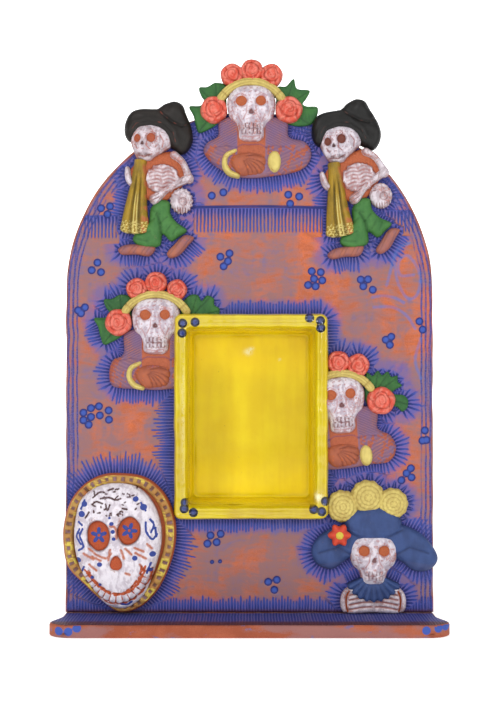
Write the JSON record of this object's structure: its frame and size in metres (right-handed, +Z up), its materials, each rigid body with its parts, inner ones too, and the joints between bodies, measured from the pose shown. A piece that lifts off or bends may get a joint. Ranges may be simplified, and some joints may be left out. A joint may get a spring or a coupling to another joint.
{
  "type": "earthenware nicho",
  "caption": "Hand-built earthenware nicho: arched comb-decorated clay panel on a base slab, with a glazed box niche ringed by moulded skeleton figures, roses and a sugar skull plaque.",
  "frame": {"origin": "on the ground under the middle of the base slab", "axes": "+Z up the panel, +X to the right of someone who looks at the front, and the niche opens to -Y"},
  "size_m": [0.272, 0.088, 0.3955],
  "materials": {
    "bare_clay": "unglazed terracotta",
    "slipped_clay": "burnished terracotta with blue slip rubbed into combed strokes",
    "yellow_glaze": "glossy yellow glaze",
    "bone_paint": "worn off-white slip over terracotta",
    "pale_yellow_paint": "worn pale yellow slip",
    "rose_paint": "coral red slip",
    "leaf_paint": "green slip",
    "mauve_paint": "mauve slip wiped thin over terracotta",
    "hat_paint": "black slip, satin",
    "horn_paint": "olive gold slip, satin",
    "ochre_paint": "ochre slip",
    "blue_paint": "grey blue slip"
  },
  "bodies": {
    "root": {"base_plate": "bare_clay", "back_panel": "slipped_clay", "niche_back": "yellow_glaze", "niche_left_wall": "yellow_glaze", "niche_right_wall": "yellow_glaze", "niche_top_wall": "yellow_glaze", "niche_bottom_wall": "yellow_glaze", "frame_left_bar": "yellow_glaze", "frame_right_bar": "yellow_glaze", "frame_top_bar": "yellow_glaze", "frame_bottom_bar": "yellow_glaze", "top_lady_skull": "bone_paint", "top_lady_headband": "pale_yellow_paint", "top_lady_crown_roses": "rose_paint", "top_lady_hands": "bare_clay", "top_lady_left_rose": "rose_paint", "top_lady_right_rose": "rose_paint", "top_lady_left_cuff": "pale_yellow_paint", "top_lady_right_cuff": "pale_yellow_paint", "top_lady_shawl": "mauve_paint", "top_lady_left_leaves": "leaf_paint", "top_lady_right_leaves": "leaf_paint", "left_lady_skull": "bone_paint", "left_lady_headband": "pale_yellow_paint", "left_lady_crown_roses": "rose_paint", "left_lady_hands": "bare_clay", "left_lady_left_rose": "rose_paint", "left_lady_left_cuff": "pale_yellow_paint", "left_lady_shawl": "mauve_paint", "left_lady_left_leaves": "leaf_paint", "left_lady_right_leaves": "leaf_paint", "right_lady_skull": "bone_paint", "right_lady_headband": "pale_yellow_paint", "right_lady_crown_roses": "rose_paint", "right_lady_hands": "bare_clay", "right_lady_right_rose": "rose_paint", "right_lady_right_cuff": "pale_yellow_paint", "right_lady_shawl": "mauve_paint", "right_lady_leaves": "leaf_paint", "left_musician_skull": "bone_paint", "left_musician_hat": "hat_paint", "left_musician_horn": "horn_paint", "left_musician_gourd": "bone_paint", "left_musician_legs": "leaf_paint", "left_musician_torso": "bone_paint", "right_musician_skull": "bone_paint", "right_musician_hat": "hat_paint", "right_musician_horn": "horn_paint", "right_musician_gourd": "bone_paint", "right_musician_legs": "leaf_paint", "right_musician_torso": "bone_paint", "medallion_plaque": "ochre_paint", "sugar_skull": "bone_paint", "hat_lady_skull": "bone_paint", "hat_lady_flower": "rose_paint", "hat_lady_hat": "blue_paint", "hat_lady_marigolds": "pale_yellow_paint", "hat_lady_collar": "blue_paint", "hat_lady_torso": "bone_paint"}
  },
  "joints": []
}
